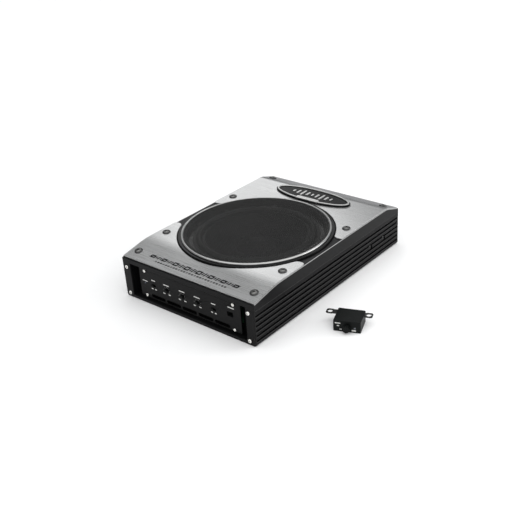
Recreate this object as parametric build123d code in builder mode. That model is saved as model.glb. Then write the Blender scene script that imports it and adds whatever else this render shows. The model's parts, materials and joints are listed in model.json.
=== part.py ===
from build123d import *
import os
from math import cos, radians, sin, sqrt

# Slim powered car subwoofer with its remote level control.
# Millimetres, +Z up. The origin is the centre of the flat underside. -Y is the control end,
# +Y the power end, and the remote control lies beside the +X side.

os.makedirs("parts", exist_ok=True)

# ---- Driving dimensions -----------------------------------------------------------------
HALF_WIDTH = 125.0
HALF_LENGTH = 176.5             # half the length of the rails, cover and trim plates
ROOF_Z = 73.0                   # flat part of the black cover
FRONT_EDGE_Z = 64.5             # cover height at the control end
REAR_EDGE_Z = 62.5              # cover height at the power end
FRONT_BEND_Y = -130.0
REAR_BEND_Y = 145.0
FRONT_BEND_RADIUS = 150.0
REAR_BEND_RADIUS = 35.0
WALL = 3.0                      # cover wall
SEAM_Z = 54.5                   # cover skirt meets side rail
BASE_THICKNESS = 2.5
END_THICKNESS = 2.5             # front frame flange and rear panel

PLATE = 1.5                     # silver trim plates
PLATE_HALF_WIDTH = 124.0
PLATE_ARC_RADIUS = 119.4
FRONT_LOBE_Y = -65.0
REAR_LOBE_Y = 22.0

WOOFER_Y = -20.3
WELL_RADIUS = 107.0
SEAT_Z = 64.0                   # top of the seat that carries the woofer
SEAT_HOLE_RADIUS = 94.5
FLANGE_RADIUS = 104.5
FLANGE_Z = SEAT_Z + 1.0         # a 1 mm gasket lies on the seat
FLANGE_TOP = FLANGE_Z + 2.0
WOOFER_SCREW_RADIUS = 100.0
CONE_RADIUS = 80.5
FORMER_RADIUS = 19.5
FORMER_WALL = 0.4

MESH_RADIUS = 109.3
MESH_THICKNESS = 1.0
MESH_TOP_Z = 83.3
BEZEL_TOP_Z = ROOF_Z + 2.4
BEZEL_RADIUS = 118.4

RAIL_INNER_X = 112.0
RAIL_NOTCH_X = 116.5            # the base plate lies in this notch
GROOVE_DEPTH = 6.5
GROOVE_WIDTH = 3.4
GROOVE_PITCH = 7.6
GROOVE_COUNT = 6
LOWEST_GROOVE_Z = 8.0
CORNER_SCREW_X = 115.6
CORNER_SCREW_Z = (7.8, 50.8)
CORNER_RADIUS = 4.0
HEAT_SINK_SCREW_Y = (99.5, 136.7)
HEAT_SINK_SCREW_Z = 27.0

FRONT_FACE_Y = -HALF_LENGTH - END_THICKNESS
FRAME_TOP_Z = 64.2
REAR_PANEL_TOP_Z = 62.0
REAR_FACE_Y = HALF_LENGTH + END_THICKNESS
OPENING_HALF_WIDTH = 110.0
OPENING_Z = (5.0, 57.0)
COLLAR_WALL = 1.8
BACK_WALL_Y = -165.0            # front face of the wall that closes the recess
BACK_WALL = 2.0
PANEL_FACE_Y = -174.0
PANEL_THICKNESS = 2.0
PANEL_HALF_WIDTH = 97.0
PANEL_Z = (7.0, 56.0)
PANEL_SCREWS = [(x, z) for x in (-84.75, 84.75) for z in (11.0, 50.7)]
PANEL_BACK_Y = PANEL_FACE_Y + PANEL_THICKNESS
CONTROL_Z = 30.5
KNOB_X = {"level_knob": -43.0, "crossover_knob": -12.0, "boost_knob": 17.0}
SWITCH_X = {"auto_switch": -69.0, "phase_switch": 47.5}
SWITCH_TRAVEL = 4.0
LED_X = -86.5
REMOTE_JACK = (77.8, 33.0)
CONTROL_BOARD_Y = -163.0
SHAFT_RADIUS = 2.0
SHAFT_FIT = 0.05

AMP_BOARD_Z = 8.0
BOARD = 1.6
AMP_BOARD_TOP = AMP_BOARD_Z + BOARD
AMP_BOARD_Y = (92.0, 170.0)
PILLARS = [(x, y) for x in (-82.0, 82.0) for y in (97.0, 165.0)]
COVER_POSTS = [(x, y) for x in (-97.0, 97.0) for y in (-150.0, 150.0)]
RAIL_BASE_SCREWS = [(x, y) for x in (-107.5, 107.5) for y in (-120.0, 0.0, 120.0)]
SOCKET_FACE_Y = REAR_FACE_Y + 1.5
POWER_X, HIGH_LEVEL_X, FUSE_X = -61.0, -22.0, 56.0
RCA_X = (8.0, 24.0)
RCA_Z = 17.5
RCA_RADIUS = 4.15
FUSE_Z = 15.6

TRIM_SCREWS = [(side * x, y) for side in (-1, 1)
               for x, y in ((110.0, -158.5), (111.0, -99.0), (111.0, 54.6), (110.0, 157.5))]

BADGE_Y = 122.5
BADGE_HALF_LENGTH, BADGE_HALF_WIDTH = 71.0, 23.0
BADGE_RIM = (1.5, 4.9)           # outer and inner edge of the silver rim, in from the outline

REMOTE_CENTRE = (196.7, -66.1)
REMOTE_YAW = 20.9
REMOTE_WIDTH, REMOTE_DEPTH, REMOTE_HEIGHT = 38.0, 33.0, 16.7
REMOTE_WALL = 1.5
BRACKET_CENTRE = (-2.3, 10.0)
STRAP_SIZE = (56.0, 9.5)
EAR_SIZE = (11.0, 11.0)
EAR_X = 27.0                    # ear and hole centres either side of the bracket's centre
EAR_HOLE_RADIUS = 3.5
EAR_Z = 12.6
EAR_THICKNESS = 1.5
REMOTE_SHAFT_Z = 7.0
REMOTE_SHAFT_RADIUS = 2.5

# ---- Reference planes -------------------------------------------------------------------
WOOFER_AXIS = Axis((0, WOOFER_Y, 0), (0, 0, 1))
WOOFER_SIDE = Plane(origin=(0, WOOFER_Y, 0), x_dir=(1, 0, 0), z_dir=(0, -1, 0))
REMOTE = Plane(
    origin=(*REMOTE_CENTRE, 0),
    x_dir=(cos(radians(REMOTE_YAW)), sin(radians(REMOTE_YAW)), 0),
    z_dir=(0, 0, 1),
)
REMOTE_FRONT = Plane(                       # sketches in (local x, z), its normal out of the front
    origin=REMOTE.from_local_coords(Vector(0, 0, 0)),
    x_dir=REMOTE.x_dir,
    z_dir=-REMOTE.y_dir,
)


def level(z):
    """Horizontal plane at height z."""
    return Plane.XY.offset(z)


def woofer_level(z):
    """Horizontal plane at height z with its origin on the woofer's axis."""
    return Plane(origin=(0, WOOFER_Y, z))


def facing_front(y):
    """Upright plane at y, sketched in (x, z), its normal towards the control end."""
    return Plane.XZ.offset(-y)


def facing_side(x, side):
    """Upright plane at x, its normal pointing outwards through that side."""
    return Plane(origin=(x, 0, 0), x_dir=(0, side, 0), z_dir=(side, 0, 0))


def remote_level(z):
    """Horizontal plane at height z in the remote control's own axes."""
    return REMOTE.offset(z)


def save(part, name):
    """Label a finished piece and write its STEP file."""
    part.label = name
    export_step(part, f"parts/{name}.step")


# ---- Shared shapes ----------------------------------------------------------------------
FRONT_SLOPE = (ROOF_Z - FRONT_EDGE_Z) / (FRONT_BEND_Y + HALF_LENGTH)
REAR_SLOPE = (ROOF_Z - REAR_EDGE_Z) / (HALF_LENGTH - REAR_BEND_Y)


def roof_height(y):
    """Height of the cover's outer surface at y, bends taken as sharp."""
    if y < FRONT_BEND_Y:
        return FRONT_EDGE_Z + (y + HALF_LENGTH) * FRONT_SLOPE
    if y > REAR_BEND_Y:
        return REAR_EDGE_Z + (HALF_LENGTH - y) * REAR_SLOPE
    return ROOF_Z


def roof_plane(x, y):
    """Plane on top of the trim plates at (x, y), square to their surface."""
    slope = FRONT_SLOPE if y < FRONT_BEND_Y else -REAR_SLOPE if y > REAR_BEND_Y else 0.0
    return Plane(origin=(x, y, roof_height(y) + PLATE), x_dir=(1, 0, 0), z_dir=(0, -slope, 1))


def roof_line(rise):
    """Side view of the roof in (y, z), raised by rise."""
    with BuildLine() as line:
        FilletPolyline(
            (-HALF_LENGTH, FRONT_EDGE_Z + rise),
            (FRONT_BEND_Y, ROOF_Z + rise),
            (REAR_BEND_Y, ROOF_Z + rise),
            (HALF_LENGTH, REAR_EDGE_Z + rise),
            radius=[FRONT_BEND_RADIUS, REAR_BEND_RADIUS],
        )
    return line.line


def roof_side(rise, bottom):
    """Closed side view from the roof line, raised by rise, down to a flat bottom."""
    with BuildSketch(Plane.YZ) as side:
        with BuildLine():
            add(roof_line(rise))
            Polyline(
                (HALF_LENGTH, REAR_EDGE_Z + rise),
                (HALF_LENGTH, bottom),
                (-HALF_LENGTH, bottom),
                (-HALF_LENGTH, FRONT_EDGE_Z + rise),
            )
        make_face()
    return side.sketch


def plate_side():
    """Side view of the bent trim plates."""
    with BuildSketch(Plane.YZ) as side:
        with BuildLine():
            add(roof_line(0))
            add(roof_line(PLATE))
            for y, z in ((-HALF_LENGTH, FRONT_EDGE_Z), (HALF_LENGTH, REAR_EDGE_Z)):
                Line((y, z), (y, z + PLATE))
        make_face()
    return side.sketch


def rect(plane, x, y, wide, deep, corner=0.0):
    """Rectangle centred at (x, y) on a plane, with rounded corners if asked."""
    with BuildSketch(plane) as made:
        with Locations((x, y)):
            if corner:
                RectangleRounded(wide, deep, corner)
            else:
                Rectangle(wide, deep)
    return made.sketch


def span(plane, x0, x1, y0, y1):
    """Rectangle on a plane given by its two sides and its two ends."""
    return rect(plane, (x0 + x1) / 2, (y0 + y1) / 2, x1 - x0, y1 - y0)


def discs(plane, radius, places=((0, 0),)):
    """Circles of one radius at places on a plane."""
    with BuildSketch(plane) as made:
        with Locations(*places):
            Circle(radius)
    return made.sketch


def ring(plane, outer, inner):
    """Flat ring about the plane's origin."""
    with BuildSketch(plane) as made:
        Circle(outer)
        Circle(inner, mode=Mode.SUBTRACT)
    return made.sketch


def turned_outline(*points):
    """Closed (radius, height) outline beside the woofer's axis."""
    with BuildSketch(WOOFER_SIDE) as made:
        with BuildLine():
            Polyline(*points, close=True)
        make_face()
    return made.sketch


def pan_screw(head_radius, head_height, shank_radius, shank_length):
    """Pan-head screw, its head standing on z = 0, with a cross recess."""
    with BuildPart() as screw:
        extrude(discs(level(0), head_radius), amount=head_height)
        fillet(screw.faces().sort_by(Axis.Z)[-1].edges(), radius=head_height * 0.45)
        extrude(discs(level(0), shank_radius), amount=-shank_length)
        with BuildSketch(level(head_height)):
            Rectangle(head_radius * 1.2, head_radius * 0.28)
            Rectangle(head_radius * 0.28, head_radius * 1.2)
        extrude(amount=-head_height * 0.5, mode=Mode.SUBTRACT)
    return screw.part


def countersunk_screw(head_radius, head_height, shank_radius, length, crown=0.0):
    """Countersunk screw, the rim of its head at z = 0, with an optional raised crown."""
    with BuildPart() as screw:
        with BuildSketch(Plane.XZ):
            with BuildLine():
                if crown:
                    ThreePointArc((0, crown), (head_radius * 0.55, crown * 0.7), (head_radius, 0))
                else:
                    Line((0, 0), (head_radius, 0))
                Polyline(
                    (head_radius, 0),
                    (shank_radius, -head_height),
                    (shank_radius, -length),
                    (0, -length),
                    (0, crown),
                )
            make_face()
        revolve(axis=Axis.Z)
        with BuildSketch(level(crown)):
            Rectangle(head_radius * 1.3, head_radius * 0.36)
            Rectangle(head_radius * 0.36, head_radius * 1.3)
        extrude(amount=-crown - head_height * 0.4, mode=Mode.SUBTRACT)
    return screw.part


def set_out(piece, places):
    """Copies of one piece at every place, as separate solids."""
    with BuildPart() as group:
        with Locations(*places):
            add(piece)
    return group.part


# ---- Casing -----------------------------------------------------------------------------
BASE_SCREW_HEAD = (4.0, 2.1)            # radius, height of the countersunk head
BASE_SCREW_RADIUS = 2.0
BASE_SCREW_PLACES = [
    Plane(origin=(x, y, 0), x_dir=(1, 0, 0), z_dir=(0, 0, -1))
    for x, y in COVER_POSTS + RAIL_BASE_SCREWS
]

with BuildPart() as base_plate:
    extrude(rect(level(0), 0, 0, 2 * RAIL_NOTCH_X - 0.2, 2 * HALF_LENGTH), amount=BASE_THICKNESS)
    extrude(discs(level(BASE_THICKNESS), 3.5, PILLARS), amount=AMP_BOARD_Z - BASE_THICKNESS)
    extrude(discs(level(AMP_BOARD_Z), 1.5, PILLARS), amount=BOARD + 1.4)
    with Locations(*BASE_SCREW_PLACES):
        CounterSinkHole(radius=2.1, counter_sink_radius=4.15, depth=BASE_THICKNESS)
save(base_plate.part, "base_plate")

base_screw = countersunk_screw(*BASE_SCREW_HEAD, BASE_SCREW_RADIUS, 7.5)
save(set_out(base_screw, BASE_SCREW_PLACES), "base_screws")


def side_rail(side):
    """Finned aluminium rail; side is +1 on the right and -1 on the left."""
    tip = side * HALF_WIDTH
    groove_x = side * (HALF_WIDTH - GROOVE_DEPTH / 2)
    with BuildPart() as rail:
        with BuildSketch(Plane.XZ) as section:
            add(span(Plane.XY, *sorted((side * RAIL_INNER_X, tip)), 0, SEAM_Z))
            fillet(section.vertices().group_by(Axis.Y)[0].sort_by(Axis.X)[-1 if side > 0 else 0],
                   radius=CORNER_RADIUS)
            notch = span(Plane.XY, *sorted((side * RAIL_INNER_X, side * RAIL_NOTCH_X)),
                         0, BASE_THICKNESS)
            add(notch, mode=Mode.SUBTRACT)
            for i in range(GROOVE_COUNT):
                with Locations((groove_x, LOWEST_GROOVE_Z + i * GROOVE_PITCH)):
                    Rectangle(GROOVE_DEPTH, GROOVE_WIDTH, mode=Mode.SUBTRACT)
            tips = section.vertices().filter_by_position(Axis.X, tip - 0.01, tip + 0.01)
            fillet(tips.filter_by_position(Axis.Y, CORNER_RADIUS + 0.1, SEAM_Z + 1), radius=0.9)
        extrude(amount=HALF_LENGTH, both=True)
        foot = span(Plane.XZ, *sorted((side * 103.0, side * RAIL_INNER_X)),
                    BASE_THICKNESS, BASE_THICKNESS + 4.0)
        extrude(foot, amount=160.0, both=True)
        corners = [(side * CORNER_SCREW_X, z) for z in CORNER_SCREW_Z]
        extrude(discs(Plane.XZ, 2.05, corners), amount=HALF_LENGTH, both=True, mode=Mode.SUBTRACT)
        feet = [(x, y) for x, y in RAIL_BASE_SCREWS if x * side > 0]
        extrude(discs(level(BASE_THICKNESS), 2.05, feet), amount=4.0, mode=Mode.SUBTRACT)
        if side > 0:
            places = [(y, HEAT_SINK_SCREW_Z) for y in HEAT_SINK_SCREW_Y]
            extrude(discs(facing_side(tip, 1), 3.6, places), amount=-3.8, mode=Mode.SUBTRACT)
            extrude(discs(facing_side(tip, 1), 2.05, places), amount=-20.0, mode=Mode.SUBTRACT)
    return rail.part


save(side_rail(-1), "side_rail_left")
save(side_rail(1), "side_rail_right")

TRIM_SHANK_RADIUS = 2.0
trim_planes = [roof_plane(x, y) for x, y in TRIM_SCREWS]

with BuildPart() as top_cover:
    extrude(roof_side(0, SEAM_Z), amount=HALF_WIDTH, both=True)
    flanks = top_cover.faces().group_by(Axis.X)
    shoulder = [e for face in flanks[0] + flanks[-1] for e in face.edges()
                if e.center().Z > SEAM_Z + 1 and abs(e.center().Y) < HALF_LENGTH - 1]
    fillet(shoulder, radius=1.0)
    extrude(roof_side(-WALL, SEAM_Z), amount=HALF_WIDTH - WALL, both=True, mode=Mode.SUBTRACT)
    # well and seat for the woofer
    extrude(discs(woofer_level(SEAT_Z - WALL), WELL_RADIUS + 2.5), amount=ROOF_Z - SEAT_Z + WALL)
    extrude(discs(woofer_level(SEAT_Z), WELL_RADIUS), amount=20.0, mode=Mode.SUBTRACT)
    extrude(discs(woofer_level(40.0), SEAT_HOLE_RADIUS), amount=40.0, mode=Mode.SUBTRACT)
    with BuildSketch(woofer_level(SEAT_Z)):
        with PolarLocations(WOOFER_SCREW_RADIUS, 8, start_angle=22.5):
            Circle(1.9)
    extrude(amount=-WALL, mode=Mode.SUBTRACT)
    # bosses for the trim screws and posts down to the base plate
    for plane in trim_planes:
        extrude(discs(plane.offset(-PLATE - 1.5), 4.5), amount=-10.0)
    for x, y in COVER_POSTS:
        top = roof_height(y) - WALL / 2
        extrude(discs(level(BASE_THICKNESS), 4.5, [(x, y)]), amount=top - BASE_THICKNESS)
    for plane in trim_planes:
        extrude(discs(plane, TRIM_SHANK_RADIUS + 0.05), amount=-13.0, mode=Mode.SUBTRACT)
    posts = discs(level(BASE_THICKNESS), BASE_SCREW_RADIUS + 0.05, COVER_POSTS)
    extrude(posts, amount=8.0, mode=Mode.SUBTRACT)
save(top_cover.part, "top_cover")


def trim_plate(end):
    """Bent silver plate; end is -1 at the control end and +1 at the power end."""
    lobe_y = FRONT_LOBE_Y if end < 0 else REAR_LOBE_Y
    with BuildPart() as plate:
        extrude(plate_side(), amount=PLATE_HALF_WIDTH, both=True)
        with BuildSketch(level(0)) as outline:
            add(span(Plane.XY, -PLATE_HALF_WIDTH, PLATE_HALF_WIDTH,
                     *sorted((lobe_y, end * HALF_LENGTH))))
            with Locations((0, WOOFER_Y)):
                Circle(PLATE_ARC_RADIUS, mode=Mode.SUBTRACT)
            lobe = outline.vertices().filter_by_position(Axis.Y, lobe_y - 0.01, lobe_y + 0.01)
            fillet(lobe.filter_by_position(Axis.X, -118, 118), radius=9.0)
            lobe = outline.vertices().filter_by_position(Axis.Y, lobe_y - 0.01, lobe_y + 0.01)
            outer = lobe.sort_by(Axis.X)
            fillet([outer[0], outer[-1]], radius=4.8)
        extrude(amount=100.0, mode=Mode.INTERSECT)
        for plane in trim_planes:
            if plane.origin.Y * end > 0:
                hole = discs(plane.offset(3), TRIM_SHANK_RADIUS + 0.2)
                extrude(hole, amount=-8.0, mode=Mode.SUBTRACT)
    return plate.part


save(trim_plate(-1), "front_trim_plate")
save(trim_plate(1), "rear_trim_plate")

# cup washers and the raised-head screws seated in them
with BuildPart() as cup_washer:
    with BuildSketch(Plane.XZ):
        with BuildLine():
            Line((2.35, 0), (6.3, 0))
            Line((6.3, 0), (6.3, 0.5))
            ThreePointArc((6.3, 0.5), (5.7, 1.45), (4.8, 1.8))
            Line((4.8, 1.8), (4.5, 1.8))
            Line((4.5, 1.8), (2.35, 0))
        make_face()
    revolve(axis=Axis.Z)
save(set_out(cup_washer.part, trim_planes), "trim_washers")
cup_screw = countersunk_screw(4.25, 1.7, TRIM_SHANK_RADIUS, 13.0, crown=1.0)
save(set_out(cup_screw, [plane.offset(1.75) for plane in trim_planes]), "trim_screws")

# ---- Ends -------------------------------------------------------------------------------
END_SCREWS = [(x, z) for x in (-CORNER_SCREW_X, CORNER_SCREW_X) for z in CORNER_SCREW_Z]
OPENING = (-OPENING_HALF_WIDTH, OPENING_HALF_WIDTH, *OPENING_Z)


def end_outline(y, top):
    """Outline of an end piece, its lower corners rounded like the rails."""
    with BuildSketch(facing_front(y)) as outline:
        add(span(Plane.XY, -HALF_WIDTH, HALF_WIDTH, 0, top))
        fillet(outline.vertices().group_by(Axis.Y)[0], radius=CORNER_RADIUS)
        fillet(outline.vertices().group_by(Axis.Y)[-1], radius=1.0)
    return outline.sketch


with BuildPart() as front_frame:
    extrude(end_outline(FRONT_FACE_Y, FRAME_TOP_Z), amount=-END_THICKNESS)
    x0, x1, z0, z1 = OPENING
    grown = (x0 - COLLAR_WALL, x1 + COLLAR_WALL, z0 - COLLAR_WALL, z1 + COLLAR_WALL)
    depth = BACK_WALL_Y + BACK_WALL - FRONT_FACE_Y
    extrude(span(facing_front(FRONT_FACE_Y), *grown), amount=-depth)
    extrude(span(facing_front(FRONT_FACE_Y), *OPENING), amount=FRONT_FACE_Y - BACK_WALL_Y,
            mode=Mode.SUBTRACT)
    extrude(discs(facing_front(BACK_WALL_Y), 3.5, PANEL_SCREWS), amount=BACK_WALL_Y - PANEL_BACK_Y)
    window = span(facing_front(BACK_WALL_Y), -94, 94, 18, 44)
    extrude(window, amount=-BACK_WALL, mode=Mode.SUBTRACT)
    front_edges = front_frame.faces().sort_by(Axis.Y)[0].edges()
    chamfer(front_edges, length=0.5)
    extrude(discs(facing_front(FRONT_FACE_Y), 2.05, END_SCREWS), amount=-END_THICKNESS,
            mode=Mode.SUBTRACT)
    extrude(discs(facing_front(PANEL_BACK_Y), 1.55, PANEL_SCREWS), amount=-6.0, mode=Mode.SUBTRACT)
save(front_frame.part, "front_frame")

POWER_SIZE, HIGH_LEVEL_SIZE = (30.0, 18.0), (20.0, 12.0)
with BuildPart() as rear_panel:
    extrude(end_outline(HALF_LENGTH, REAR_PANEL_TOP_Z), amount=-END_THICKNESS)
    chamfer(rear_panel.faces().sort_by(Axis.Y)[-1].edges(), length=0.5)
    back = facing_front(HALF_LENGTH)
    apertures = (
        (POWER_X, AMP_BOARD_TOP + POWER_SIZE[1] / 2, POWER_SIZE[0] + 0.4, POWER_SIZE[1] + 0.4),
        (HIGH_LEVEL_X, AMP_BOARD_TOP + HIGH_LEVEL_SIZE[1] / 2, HIGH_LEVEL_SIZE[0] + 0.4,
         HIGH_LEVEL_SIZE[1] + 0.4),
        (FUSE_X, FUSE_Z, 22.0, 8.0),
    )
    for x, z, wide, tall in apertures:
        extrude(rect(back, x, z, wide, tall), amount=-END_THICKNESS, mode=Mode.SUBTRACT)
    extrude(discs(back, RCA_RADIUS + 0.3, [(x, RCA_Z) for x in RCA_X]), amount=-END_THICKNESS,
            mode=Mode.SUBTRACT)
    extrude(discs(back, 2.05, END_SCREWS), amount=-END_THICKNESS, mode=Mode.SUBTRACT)
save(rear_panel.part, "rear_panel")

end_screw = pan_screw(3.0, 2.6, 2.0, 18.0)
end_places = [Plane(origin=(x, FRONT_FACE_Y, z), x_dir=(1, 0, 0), z_dir=(0, -1, 0))
              for x, z in END_SCREWS]
end_places += [Plane(origin=(x, REAR_FACE_Y, z), x_dir=(1, 0, 0), z_dir=(0, 1, 0))
               for x, z in END_SCREWS]
save(set_out(end_screw, end_places), "end_screws")

# ---- Control panel ----------------------------------------------------------------------
SWITCH_SLOT = (2 * 4.4, 2 * 1.9)
VENT_COUNT, VENT_PITCH, VENT_Z = 5, 31.0, 12.2
VENT_SIZE = (28.0, 5.6)

with BuildPart() as control_panel:
    front = facing_front(PANEL_FACE_Y)
    extrude(span(front, -PANEL_HALF_WIDTH, PANEL_HALF_WIDTH, *PANEL_Z), amount=-PANEL_THICKNESS)
    chamfer(control_panel.faces().sort_by(Axis.Y)[0].edges(), length=0.4)
    holes = [(x, CONTROL_Z) for x in KNOB_X.values()]
    extrude(discs(front, SHAFT_RADIUS + 0.4, holes), amount=-5.0, mode=Mode.SUBTRACT)
    for x in SWITCH_X.values():
        extrude(rect(front, x, CONTROL_Z, *SWITCH_SLOT), amount=-5.0, mode=Mode.SUBTRACT)
    extrude(rect(front, *REMOTE_JACK, 10.4, 7.3), amount=-5.0, mode=Mode.SUBTRACT)
    extrude(discs(front, 1.6, [(LED_X, CONTROL_Z)]), amount=-5.0, mode=Mode.SUBTRACT)
    extrude(discs(front, 1.6, PANEL_SCREWS), amount=-5.0, mode=Mode.SUBTRACT)
    with BuildSketch(front):
        with Locations((0, VENT_Z)):
            with GridLocations(VENT_PITCH, 1, VENT_COUNT, 1):
                SlotOverall(*VENT_SIZE)
    extrude(amount=-5.0, mode=Mode.SUBTRACT)
save(control_panel.part, "control_panel")

panel_screw = pan_screw(2.5, 1.8, 1.5, 7.5)
panel_places = [Plane(origin=(x, PANEL_FACE_Y, z), x_dir=(1, 0, 0), z_dir=(0, -1, 0))
                for x, z in PANEL_SCREWS]
save(set_out(panel_screw, panel_places), "control_panel_screws")

with BuildPart() as control_board:
    extrude(span(facing_front(CONTROL_BOARD_Y), -98, 98, 14, 50), amount=-BOARD)
save(control_board.part, "control_board")

BODY_FRONT_Y = PANEL_BACK_Y + 0.2              # front faces of the parts on the control board
BODY_DEPTH = CONTROL_BOARD_Y - BODY_FRONT_Y
body_plane = facing_front(BODY_FRONT_Y)
pot_places = [(x, CONTROL_Z) for x in KNOB_X.values()]

with BuildPart() as potentiometers:
    for x, z in pot_places:
        extrude(rect(body_plane, x, z, 11.0, 11.0), amount=-BODY_DEPTH)
    extrude(discs(body_plane, SHAFT_RADIUS + SHAFT_FIT, pot_places), amount=-7.0,
            mode=Mode.SUBTRACT)
save(potentiometers.part, "potentiometers")


def turning_knob(grip_plane, grip_radius, grip_height, shaft_radius, shaft_length):
    """Round knob with shallow flutes and a pointer groove, its shaft behind grip_plane."""
    with BuildPart() as knob:
        extrude(discs(grip_plane, grip_radius), amount=grip_height)
        front_face = knob.faces().filter_by(grip_plane).sort_by(Axis.Y)[0]
        fillet(front_face.edges(), radius=0.5)
        with BuildSketch(grip_plane):
            with PolarLocations(grip_radius + 0.35, 12, start_angle=15):
                Circle(0.75)
        extrude(amount=grip_height, mode=Mode.SUBTRACT)
        with BuildSketch(grip_plane.offset(grip_height)):
            with Locations((0, grip_radius * 0.45)):
                Rectangle(0.8, grip_radius * 0.8)
        extrude(amount=-0.6, mode=Mode.SUBTRACT)
        extrude(discs(grip_plane, shaft_radius), amount=-shaft_length)
    return knob.part


GRIP_Y = PANEL_FACE_Y - 0.6
GRIP_RADIUS, GRIP_LENGTH = 3.2, 2.4
SHAFT_END_Y = BODY_FRONT_Y + 6.5
for name, x in KNOB_X.items():
    grip = Plane(origin=(x, GRIP_Y, CONTROL_Z), x_dir=(1, 0, 0), z_dir=(0, -1, 0))
    shaft_length = SHAFT_END_Y - GRIP_Y
    save(turning_knob(grip, GRIP_RADIUS, GRIP_LENGTH, SHAFT_RADIUS, shaft_length), name)

with BuildPart() as switch_bodies:
    for x in SWITCH_X.values():
        extrude(rect(body_plane, x, CONTROL_Z, 13.0, 7.0), amount=-BODY_DEPTH)
        extrude(rect(body_plane, x, CONTROL_Z, 8.6, 3.8), amount=-5.5, mode=Mode.SUBTRACT)
save(switch_bodies.part, "switch_bodies")

for name, x in SWITCH_X.items():
    with BuildPart() as slider:
        rest_x = x - SWITCH_TRAVEL / 2
        tip_plane = facing_front(PANEL_FACE_Y - 1.6)
        slider_length = BODY_FRONT_Y + 5.0 - (PANEL_FACE_Y - 1.6)
        extrude(rect(tip_plane, rest_x, CONTROL_Z, 3.4, 3.0), amount=-slider_length)
        for i in (-1, 0, 1):
            rib = rect(tip_plane, rest_x + i, CONTROL_Z, 0.4, 3.0)
            extrude(rib, amount=-0.5, mode=Mode.SUBTRACT)
    save(slider.part, name)

with BuildPart() as power_led:
    lens_plane = facing_front(PANEL_FACE_Y - 0.2)
    extrude(discs(lens_plane, 1.5, [(LED_X, CONTROL_Z)]), amount=PANEL_FACE_Y - 0.2 - CONTROL_BOARD_Y)
    fillet(power_led.faces().sort_by(Axis.Y)[0].edges(), radius=0.7)
save(power_led.part, "power_led")


def socket_block(plane, x, z, size, cavity, depth, cavity_depth):
    """Open-fronted socket standing behind a plane."""
    with BuildPart() as block:
        extrude(rect(plane, x, z, *size), amount=-depth)
        extrude(rect(plane, x, z, *cavity), amount=-cavity_depth, mode=Mode.SUBTRACT)
    return block.part


with BuildPart() as remote_jack:
    add(socket_block(body_plane, *REMOTE_JACK, (13.0, 12.0), (9.6, 6.5), BODY_DEPTH, 7.3))
save(remote_jack.part, "remote_jack")

# flat cable from the control board back to the amplifier board, under the woofer
RIBBON_X, RIBBON_WIDTH, RIBBON = -70.0, 16.0, 1.0
with BuildPart() as control_harness:
    with BuildLine(Plane.YZ) as route:
        FilletPolyline(
            (CONTROL_BOARD_Y + BOARD + 5.0, 24.0),
            (-148.0, 24.0),
            (-140.0, 4.0),
            (86.0, 4.0),
            (90.0, 13.5),
            (96.0, 13.5),
            radius=[5.0, 5.0, 4.0, 2.5],
        )
    start = Plane(origin=(RIBBON_X, CONTROL_BOARD_Y + BOARD + 5.0, 24.0), x_dir=(1, 0, 0),
                  z_dir=(0, 1, 0))
    along = Wire(route.line.edges()).moved(Location((RIBBON_X, 0, 0)))
    sweep(rect(start, 0, 0, RIBBON_WIDTH, RIBBON), path=along)
    plug = rect(facing_front(CONTROL_BOARD_Y + BOARD), RIBBON_X, 24.0, 20.0, 6.0)
    extrude(plug, amount=-5.0)
    extrude(rect(level(AMP_BOARD_TOP), RIBBON_X, 99.0, 20.0, 6.0), amount=6.0)
save(control_harness.part, "control_harness")

# ---- Grille -----------------------------------------------------------------------------
BEZEL_INNER_RADIUS = 104.0
with BuildPart() as grille_ring:
    with BuildSketch(WOOFER_SIDE):
        with Locations(((BEZEL_INNER_RADIUS + BEZEL_RADIUS) / 2, (ROOF_Z + BEZEL_TOP_Z) / 2)):
            profile = Rectangle(BEZEL_RADIUS - BEZEL_INNER_RADIUS, BEZEL_TOP_Z - ROOF_Z)
        outer_corner = profile.vertices().sort_by(Axis.X)[-2:].sort_by(Axis.Y)[-1]
        fillet(outer_corner, radius=1.4)
    revolve(axis=WOOFER_AXIS)
save(grille_ring.part, "grille_ring")

TRIM_RING_INNER, TRIM_RING_OUTER = MESH_RADIUS + 0.2, 113.0
TRIM_RING_WALL, TRIM_RING_HEIGHT = 1.3, 2.7     # straight part of its wall, and full height
with BuildPart() as trim_ring:
    with BuildSketch(WOOFER_SIDE):
        with BuildLine():
            wall_top = BEZEL_TOP_Z + TRIM_RING_WALL
            Polyline((TRIM_RING_INNER, wall_top), (TRIM_RING_INNER, BEZEL_TOP_Z),
                     (TRIM_RING_OUTER, BEZEL_TOP_Z), (TRIM_RING_OUTER, wall_top))
            middle = (TRIM_RING_INNER + TRIM_RING_OUTER) / 2
            ThreePointArc((TRIM_RING_OUTER, wall_top), (middle, BEZEL_TOP_Z + TRIM_RING_HEIGHT),
                          (TRIM_RING_INNER, wall_top))
        make_face()
    revolve(axis=WOOFER_AXIS)
save(trim_ring.part, "trim_ring")


MESH_SHOULDER_Z = 79.4
MESH_CORNER = 3.6               # how far in from the rim the upright edge has turned over


def crown(half_width, low, high):
    """Shallow arc over the woofer's axis, from its rim at low to its middle at high."""
    radius = (half_width**2 + (high - low) ** 2) / (2 * (high - low))
    halfway = high - radius + sqrt(radius**2 - half_width**2 / 4)
    return ThreePointArc((half_width, low), (half_width / 2, halfway), (0, high))


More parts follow.
